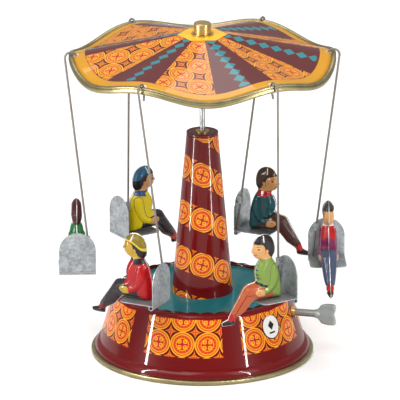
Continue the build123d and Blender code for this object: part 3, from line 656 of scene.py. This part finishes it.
def rider_regions(capped, shirt):
    """Printed regions and a painted highlight, later ones over earlier ones: name, loop, relief and how
    far it rises.
    """
    curved = closed_curve
    regions = [
        ("jacket", curved(JACKET), 0.0, 3.0), ("trousers", curved(TROUSERS), 0.5, 2.5),
        ("sock", np.array(SOCK, float), 0.2, 1.0), ("shoe", np.array(SHOE, float), 0.5, 1.2),
        ("face", curved(FACE), 0.2, 1.5), ("collar", curved(COLLAR), 0.4, 1.0),
    ]
    if shirt:
        regions.append(("shirt", curved(LAPEL), 0.0, 1.0))
    regions.append(("hair", curved(HAIR), 0.5, 1.2))
    if capped:
        regions.append(("cap", curved(CAP), 0.5, 1.5))
        regions.append(("band", curved(BAND), 0.3, 0.6))
    regions += [
        # shine: a painted highlight, a white streak on top of the head
        ("shine", stroke([(8.6, 53.6), (9.4, 51.0), (9.6, 48.6)], 0.8), 0.0, 1.0),
        ("ink", stroke([(5.4, 46.0), (7.6, 41.6), (8.4, 38.0)], 0.3), 0.0, 1.0),
        ("ear", curved([(5.6, 41.6), (7.2, 42.2), (7.8, 40.4), (6.6, 38.2), (5.4, 39.6)]), 0.3, 0.6),
        ("ink", oval(14.3, 43.4, 0.95, 0.62), 0.0, 1.0),
        ("ink", stroke([(12.6, 45.2), (14.2, 45.7), (15.8, 45.4)], 0.42), 0.0, 1.0),
        ("lips", oval(16.2, 38.4, 0.95, 0.42), 0.0, 1.0),
        ("ink", stroke([(9.0, -1.0), (12.4, 3.6), (18.6, 6.2), (25.4, 6.4)], 0.4), 0.0, 1.0),
        ("ink", stroke([(26.0, 7.2), (32.0, -1.4), (36.4, -8.4)], 0.35), 0.0, 1.0),
    ]
    if capped:
        regions.append(("ink", stroke([(11.4, 31.0), (12.6, 24.0), (12.2, 16.4)], 0.35), 0.0, 1.0))
    else:
        regions.append(("belt", curved(BELT), 0.25, 0.6))
        for x, y in ((13.6, 29.4), (14.6, 25.6), (14.8, 21.8), (14.2, 18.6)):
            regions.append(("button", oval(x, y, 0.62), 0.25, 0.4))
    regions += [
        ("ink", curved(ARM), 0.0, 1.0), ("sleeve", shrink(curved(ARM), 0.35), 1.1, 1.8),
        ("hand", curved(HAND), 0.8, 1.2),
        ("ink", stroke([(14.6, 8.6), (18.2, 8.4)], 0.22), 0.0, 1.0),
        ("ink", stroke([(14.4, 7.0), (18.0, 6.8)], 0.22), 0.0, 1.0),
    ]
    return regions


def shrink(loop, amount):
    """A loop drawn in by amount."""
    along = np.roll(loop, -1, axis=0) - np.roll(loop, 1, axis=0)
    along /= np.linalg.norm(along, axis=1)[:, None] + 1e-9
    normal = np.stack([-along[:, 1], along[:, 0]], 1)
    smaller = loop + normal * amount
    if not inside(smaller[:1], loop)[0]:
        smaller = loop - normal * amount
    return smaller


def fill(outline, loops, gap):
    """Flat triangles inside an outline, with the loops' lines kept as edges."""
    points = [Vector(p) for p in outline]
    edges = [(k, (k + 1) % len(outline)) for k in range(len(outline))]
    for loop in loops:
        start = len(points)
        points += [Vector(p) for p in loop]
        edges += [(start + k, start + (k + 1) % len(loop)) for k in range(len(loop))]
    low, high = outline.min(axis=0), outline.max(axis=0)
    grid = np.array([(x + (gap / 2 if row % 2 else 0), y)
                     for row, y in enumerate(np.arange(low[1], high[1], gap * 0.87))
                     for x in np.arange(low[0], high[0], gap)])
    keep = inside(grid, outline)
    for loop in [outline] + list(loops):
        keep &= distance(grid, loop) > 0.35 * gap
    points += [Vector(p) for p in grid[keep]]
    flat, _, triangles, _, _, _ = delaunay_2d_cdt(points, edges, [], 0, 1e-4)
    flat = np.array([tuple(p) for p in flat])
    triangles = np.array([tuple(t) for t in triangles])
    triangles = triangles[inside(flat[triangles].mean(axis=1), outline)]
    used = np.unique(triangles)
    renumber = np.zeros(len(flat), int)
    renumber[used] = np.arange(len(used))
    return flat[used], renumber[triangles]


def rider_half_mesh(capped, shirt):
    """One half of a folded figure: flat triangles, which region each is, and its depth."""
    outline = closed_curve(OUTLINE, 3)
    regions = rider_regions(capped, shirt)
    flange = shrink(outline, FLANGE)
    flat, triangles = fill(outline, [flange] + [loop for _, loop, _, _ in regions], 1.1)
    centres = flat[triangles].mean(axis=1)
    kinds = np.full(len(triangles), -1)
    for number, (_, loop, _, _) in enumerate(regions):
        kinds[inside(centres, loop)] = number
    names = ["jacket" if kind < 0 else regions[kind][0] for kind in kinds]
    rim = distance(centres, outline) < FLANGE * 0.9
    names = ["edge" if bare else name for name, bare in zip(names, rim)]
    to_edge = distance(flat, outline)
    heights, halves = zip(*HALF_WIDTHS)
    half = np.interp(flat[:, 1], heights, halves) * np.interp(flat[:, 0], (15, 46), (1, 0.34))
    rounding = 4.2
    deep = np.clip((to_edge - FLANGE) / rounding, 0, 1)
    half = 0.25 + (half - 0.25) * np.sqrt(1 - (1 - deep) ** 2)
    for _, loop, rise, reach in regions:
        if rise:
            half += rise * smoothstep(distance(flat, loop) / reach) * inside(flat, loop) * deep
    return flat, triangles, names, half


def rider(number, template, colours):
    """A folded tin rider on its seat: two mirrored embossed halves."""
    flat, triangles, names, half = template
    order = sorted(set(names))
    angle = swing_angle(number)
    points, faces, kinds = [], [], []
    count = len(flat)
    for side in (1, -1):
        for (f, h), x in zip(flat, half):
            points.append(turned((SEAT_MIDDLE + side * x, -f, SEAT_TOP + h), angle))
        for triangle, name in zip(triangles, names):
            a, b, c = (int(t) + (count if side < 0 else 0) for t in triangle)
            faces.append((a, c, b) if side > 0 else (a, b, c))
            kinds.append(order.index(name))
    thing = piece(f"rider_sheet_{number}", points, faces, f"swing_{number}", f"rider_paint_{number}")
    for name in order:
        thing.data.materials.append(TIN if name == "edge" else PAINTS[colours[name]])
    thing.data.materials.append(TIN)
    thing.data.polygons.foreach_set("material_index", kinds)
    flip_if_inward(thing, angle)
    thick = thing.modifiers.new("thickness", "SOLIDIFY")
    thick.thickness = 0.2 * MM
    thick.offset = -1
    thick.material_offset = len(order)
    thick.material_offset_rim = len(order)
    apply_modifiers(thing)
    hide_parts(f"rider_{number}")


def flip_if_inward(thing, angle):
    """Make each half's faces look away from the fold."""
    out = Vector(turned((1, 0, 0), angle))
    middle = Vector(turned((SEAT_MIDDLE, 0, 0), angle)) * MM
    mesh = bmesh.new()
    mesh.from_mesh(thing.data)
    for side in (1, -1):
        half = [f for f in mesh.faces if (f.calc_center_median() - middle).dot(out) * side > 0]
        facing = sum(f.normal.dot(out) * f.calc_area() for f in half) * side
        if facing < 0:
            bmesh.ops.reverse_faces(mesh, faces=half)
    mesh.to_mesh(thing.data)
    mesh.free()


FLANGE = 0.35
HALF_WIDTHS = [(-18, 5.6), (-6, 6.4), (0, 6.8), (10, 6.8), (20, 6.3), (29, 5.6), (35, 3.2), (42, 4.0),
               (49, 3.6), (55, 2.4)]
PAINT_COLOURS = {
    "ink": (24, 18, 20), "black": (34, 28, 30), "brown_hair": (70, 46, 36), "maroon_hair": (70, 26, 24),
    "grey_cap": (62, 62, 66), "blue_cap": (34, 98, 138), "olive_cap": (126, 108, 24),
    "gold_band": (214, 182, 50), "skin_tan": (214, 158, 100), "skin_gold": (184, 150, 46),
    "lips": (176, 70, 58), "white": (240, 238, 232),
    "green_jacket": (36, 112, 62), "yellow_coat": (238, 214, 26), "teal_coat": (14, 80, 88),
    "plum_coat": (120, 24, 76), "red_jacket": (172, 8, 14), "lime_shirt": (120, 146, 62),
    "red_shirt": (184, 24, 26), "blue_bow": (44, 84, 140),
    "dark_trousers": (44, 36, 40), "brown_trousers": (78, 46, 40), "blue_trousers": (70, 80, 104),
    "rust_trousers": (176, 84, 48), "grey_trousers": (86, 84, 80),
    "red_sock": (176, 34, 36), "orange_sock": (206, 70, 36), "dark_sock": (116, 32, 30),
    "navy_button": (34, 50, 96),
}
PAINTS = {name: plain_lacquer(f"print_{name}", srgb(*colour), 0.28)
          for name, colour in PAINT_COLOURS.items()}


def dress(hair, cap, band, skin, jacket, shirt, collar, trousers, sock):
    """The paint of each region of one rider."""
    return {"hair": hair, "cap": cap, "band": band, "face": skin, "ear": skin, "hand": skin,
            # shine is the painted highlight on top of the head, in white
            "lips": "lips", "ink": "ink", "shine": "white", "jacket": jacket, "sleeve": jacket,
            "shirt": shirt, "collar": collar, "trousers": trousers, "sock": sock, "shoe": "black",
            "belt": "black", "button": "navy_button"}


def all_riders():
    """Six figures from two embossed patterns, with and without a cap."""
    capped = rider_half_mesh(True, True)
    plain = rider_half_mesh(False, False)
    dressed = {
        1: (capped, dress("black", "grey_cap", "black", "skin_tan", "plum_coat", "red_shirt", "white",
                          "blue_trousers", "red_sock")),
        2: (plain, dress("brown_hair", "black", "black", "skin_tan", "teal_coat", "red_shirt",
                         "red_shirt", "brown_trousers", "red_sock")),
        3: (capped, dress("black", "blue_cap", "black", "skin_tan", "yellow_coat", "yellow_coat",
                          "blue_bow", "dark_trousers", "orange_sock")),
        4: (plain, dress("maroon_hair", "black", "black", "skin_tan", "green_jacket", "green_jacket",
                         "green_jacket", "grey_trousers", "red_sock")),
        5: (capped, dress("black", "olive_cap", "gold_band", "skin_gold", "red_jacket", "red_jacket",
                          "black", "dark_trousers", "dark_sock")),
        6: (plain, dress("black", "black", "black", "skin_tan", "lime_shirt", "lime_shirt",
                         "lime_shirt", "rust_trousers", "red_sock")),
    }
    for number, (template, colours) in dressed.items():
        rider(number, template, colours)


# ------------------------------------------------------------------ key, tray edge and badge
def cast_key():
    """The cast winding key: a round shank and a thick fan-shaped head with soft edges."""
    low, high = (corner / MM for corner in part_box("key"))
    middle, half_height = (low.z + high.z) / 2, (high.z - low.z) / 2
    reach, neck = high.x, high.x - 16.4
    fan = [(neck - 1.2, 2.7), (neck + 1.6, 4.2), (neck + 4.4, 7.6), (neck + 8.0, 8.8),
           (neck + 12.4, 9.1), (neck + 15.4, 8.7), (neck + 16.4, 7.0), (neck + 16.0, 3.4),
           (neck + 15.2, 0.7)]
    upper = [(x, z * half_height / 9.2) for x, z in fan]
    outline = closed_curve(upper + [(x, -z) for x, z in reversed(upper)], 5)
    outline[:, 0] = np.minimum(outline[:, 0], reach - 0.02)
    outline[:, 1] = np.clip(outline[:, 1], 0.02 - half_height, half_height - 0.02)
    flat, triangles = fill(outline, [shrink(outline, 0.5)], 0.9)
    deep = np.clip(distance(flat, outline) / 1.6, 0, 1)
    web = np.interp(np.abs(flat[:, 1]), (0, 3.5, 6), (0.0, 0.35, 0.0)) * deep
    thick = 0.5 + 1.1 * np.sqrt(1 - (1 - deep) ** 2) - web
    points = [(x, -t, middle + z) for (x, z), t in zip(flat, thick)]
    points += [(x, t, middle + z) for (x, z), t in zip(flat, thick)]
    count = len(flat)
    faces = [tuple(int(t) for t in triangle) for triangle in triangles]
    faces += [tuple(int(t) + count for t in reversed(triangle)) for triangle in triangles]
    edges = {}
    for triangle in triangles:
        for k in range(3):
            a, b = int(triangle[k]), int(triangle[(k + 1) % 3])
            if (b, a) in edges:
                del edges[(b, a)]
            else:
                edges[(a, b)] = True
    faces += [(b, a, a + count, b + count) for a, b in edges]
    start, steps, radius = low.x, 32, 2.98
    sections = [(start, radius - 0.3), (start + 0.3, radius), (neck - 1.5, radius),
                (neck - 0.6, radius + 0.5), (neck + 1.4, radius + 0.5), (neck + 3.4, 1.6),
                (neck + 5.4, 0.5)]
    first = len(points)
    for x, size in sections:
        for step in range(steps):
            turn = 2 * math.pi * step / steps
            points.append((x, size * math.cos(turn), middle + size * math.sin(turn)))
    for k in range(len(sections) - 1):
        for step in range(steps):
            a, b = first + k * steps + step, first + k * steps + (step + 1) % steps
            faces.append((a, b, b + steps, a + steps))
    faces.append(tuple(first + step for step in reversed(range(steps))))
    faces.append(tuple(first + (len(sections) - 1) * steps + step for step in range(steps)))
    key = piece("cast_key", points, faces, "winder", "key_cast", CAST)
    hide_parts("key")


def tray_edge():
    """The tray's crimped edge: a ring of low scallops inside the base's lip, coloured dark partly as the
    crimp's own colour and partly as painted shade where the lip meets the tray.
    """
    bumps, steps, radius, thick = 37, 37 * 12, BASE_TOP_RADIUS - 0.7, 0.35
    points, faces = [], []
    for step in range(steps):
        angle = 360 * step / steps
        crest = BASE_TOP - 0.2 + 1.5 * abs(math.sin(math.pi * bumps * step / steps)) ** 0.6
        for x, z in ((0, BASE_TOP - 1.4), (0, crest - 0.1), (-thick / 2, crest), (-thick, crest - 0.1),
                     (-thick, BASE_TOP - 1.4)):
            points.append(turned((radius + x, 0, z), angle))
    for step in range(steps):
        after = (step + 1) % steps
        for k in range(5):
            k2 = (k + 1) % 5
            faces.append((step * 5 + k, after * 5 + k, after * 5 + k2, step * 5 + k2))
    piece("tray_crimp", points, faces, "base", "tray_teal", CRIMP_SHADE)


def badge():
    """A plain oval mark printed on the skirt: a dark diamond on white, with a dark outline."""
    angle, tall, wide, middle = 317 + CAMERA_TURN, 20.5, 19.5, BASE_TOP - 16.2
    base = local_points("base_shell", 0)
    radii = np.hypot(base[:, 0], base[:, 1])
    ring_heights = np.unique(np.round(base[:, 2], 3))
    outer = np.array([radii[np.abs(base[:, 2] - z) < 0.01].max() for z in ring_heights])
    slope = [k for k, z in enumerate(ring_heights) if 10 < z < BASE_TOP - 5.4 and outer[k] > 72]
    fit = np.polyfit(ring_heights[slope], outer[slope], 1)
    outline = oval(0, 0, wide / 2, tall / 2, 40)
    border = oval(0, 0, wide / 2 - 0.9, tall / 2 - 0.9, 40)
    diamond = np.array([(0, 5.2), (3.4, 1.2), (0, -2.8), (-3.4, 1.2)], float)
    bar = np.array([(-3.2, -4.2), (3.2, -4.2), (3.2, -5.6), (-3.2, -5.6)], float)
    flat, triangles = fill(outline, [border, diamond, bar], 1.4)
    centres = flat[triangles].mean(axis=1)
    dark = ~inside(centres, border) | inside(centres, diamond) | inside(centres, bar)
    points = []
    for x, z in flat:
        height = middle + z * 0.96
        radius = np.polyval(fit, height) + 0.12
        points.append(turned((radius, 0, height), angle + math.degrees(x / radius)))
    mark = piece("badge", points, [tuple(int(t) for t in triangle) for triangle in triangles], "base",
                 "printed_red", PAINTS["white"], PAINTS["ink"])
    mark.data.polygons.foreach_set("material_index", [int(d) for d in dark])


# ------------------------------------------------------------------ carried-over CAD nodes
def paint_nodes():
    """Materials of the CAD nodes that stay visible."""
    table = {
        SKIRT: ["base_shell"], COLUMN: ["column_shell"], TEAL: ["base_tray"], CAP_RED: ["column_cap"],
        RIM: ["base_rim"],
        BRASS: ["canopy_collar", "top_cap", "canopy_hub", "top_bearing", "footstep_bearing", "key_bush",
                "great_wheel", "spindle_pinion", "contrate_wheel", "governor_wheel", "second_pinion",
                "fly_pinion"],
        STEEL: ["spindle", "winding_arbor", "second_arbor", "fly_arbor", "ratchet_wheel", "click",
                "click_pin", "click_spring", "mainspring", "plate_pillars", "plate_screws"],
        TIN: ["bottom_plate", "inner_plate", "outer_plate", "fly_vanes"],
        WIRE: [f"swing_wire_{k}" for k in range(1, RIDERS + 1)],
        ZINC: [f"seat_{k}" for k in range(1, RIDERS + 1)],
    }
    for material, names in table.items():
        for name in names:
            paint_node(name, material)


# ------------------------------------------------------------------ floor, light and camera
def aim(thing, place, target):
    """Put a camera or light at place, looking at target."""
    thing.location = place
    thing.rotation_euler = (Vector(target) - Vector(place)).to_track_quat("-Z", "Y").to_euler()


def view_way(azimuth, elevation):
    """Direction from the object towards a viewer."""
    a, e = math.radians(azimuth), math.radians(elevation)
    return Vector((math.sin(a) * math.cos(e), -math.cos(a) * math.cos(e), math.sin(e)))


def camera():
    """A long lens from the photograph's angle."""
    data = bpy.data.cameras.new("camera")
    thing = bpy.data.objects.new("camera", data)
    bpy.context.scene.collection.objects.link(thing)
    way = view_way(CAMERA_TURN, CAMERA_RISE)
    right = Vector((math.cos(math.radians(CAMERA_TURN)), math.sin(math.radians(CAMERA_TURN)), 0))
    up = way.cross(right)
    target = Vector((0, 0, 0.140)) - right * 0.0019 - up * 0.0105
    aim(thing, target + way * CAMERA_FAR, target)
    frame_width = 0.326
    data.sensor_width = 36
    data.lens = data.sensor_width * CAMERA_FAR / frame_width
    data.clip_end = 50
    bpy.context.scene.camera = thing


def softbox(name, turn, rise, far, wide, high, watts, target=(0, 0, 0.14), matt=True, shine=True):
    """A rectangular soft light, placed like a camera; it can be left out of matt or shiny surfaces."""
    data = bpy.data.lights.new(name, "AREA")
    data.shape = "RECTANGLE"
    data.size, data.size_y = wide, high
    data.energy = watts
    thing = bpy.data.objects.new(name, data)
    bpy.context.scene.collection.objects.link(thing)
    thing.visible_diffuse, thing.visible_glossy = matt, shine
    aim(thing, Vector(target) + view_way(turn, rise) * far, target)


def studio():
    """Pale floor, a sky brighter overhead, soft lights and two strips for the lacquer's streaks."""
    scene = bpy.context.scene
    scene.view_settings.view_transform = "Standard"
    world = bpy.data.worlds.new("studio")
    scene.world = world
    world.use_nodes = True
    sky = world.node_tree.nodes["Background"]
    sky.inputs["Color"].default_value = (1, 1, 1, 1)
    place = world.node_tree.nodes.new("ShaderNodeTexCoord")
    split = world.node_tree.nodes.new("ShaderNodeSeparateXYZ")
    height = world.node_tree.nodes.new("ShaderNodeMapRange")
    for socket, value in (("From Min", 0.05), ("From Max", 0.8), ("To Min", 0.36), ("To Max", 0.8)):
        height.inputs[socket].default_value = value
    world.node_tree.links.new(place.outputs["Generated"], split.inputs[0])
    world.node_tree.links.new(split.outputs["Z"], height.inputs["Value"])
    world.node_tree.links.new(height.outputs["Result"], sky.inputs["Strength"])
    floor_mesh = bpy.data.meshes.new("floor")
    size = 6.0
    floor_mesh.from_pydata([(-size, -size, 0), (size, -size, 0), (size, size, 0), (-size, size, 0)], [],
                           [(0, 1, 2, 3)])
    floor = bpy.data.objects.new("floor", floor_mesh)
    bpy.context.scene.collection.objects.link(floor)
    paint = Paint("floor_paper")
    paint.set(Base_Color=paint.mix(paint.noise(3, 2.0) * 0.1, srgb(252, 252, 252), srgb(240, 240, 240)),
              Roughness=0.9)
    floor_mesh.materials.append(paint.material)
    softbox("key_light", -35 + CAMERA_TURN, 52, 1.6, 1.0, 1.0, 14)
    softbox("fill_light", 50 + CAMERA_TURN, 35, 1.8, 0.9, 1.2, 7)
    softbox("front_light", -6 + CAMERA_TURN, 44, 1.9, 0.9, 0.5, 9, shine=False)
    softbox("top_light", 180 + CAMERA_TURN, 62, 1.6, 0.9, 0.6, 7)
    softbox("left_strip", -60 + CAMERA_TURN, 2, 0.5, 0.026, 0.5, 4.0, (0, 0, 0.26), matt=False)
    softbox("right_strip", 47 + CAMERA_TURN, 2, 0.5, 0.018, 0.5, 2.6, (0, 0, 0.26), matt=False)


canopy_sheet()
canopy_bead()
all_riders()
cast_key()
tray_edge()
badge()
paint_nodes()
studio()
camera()
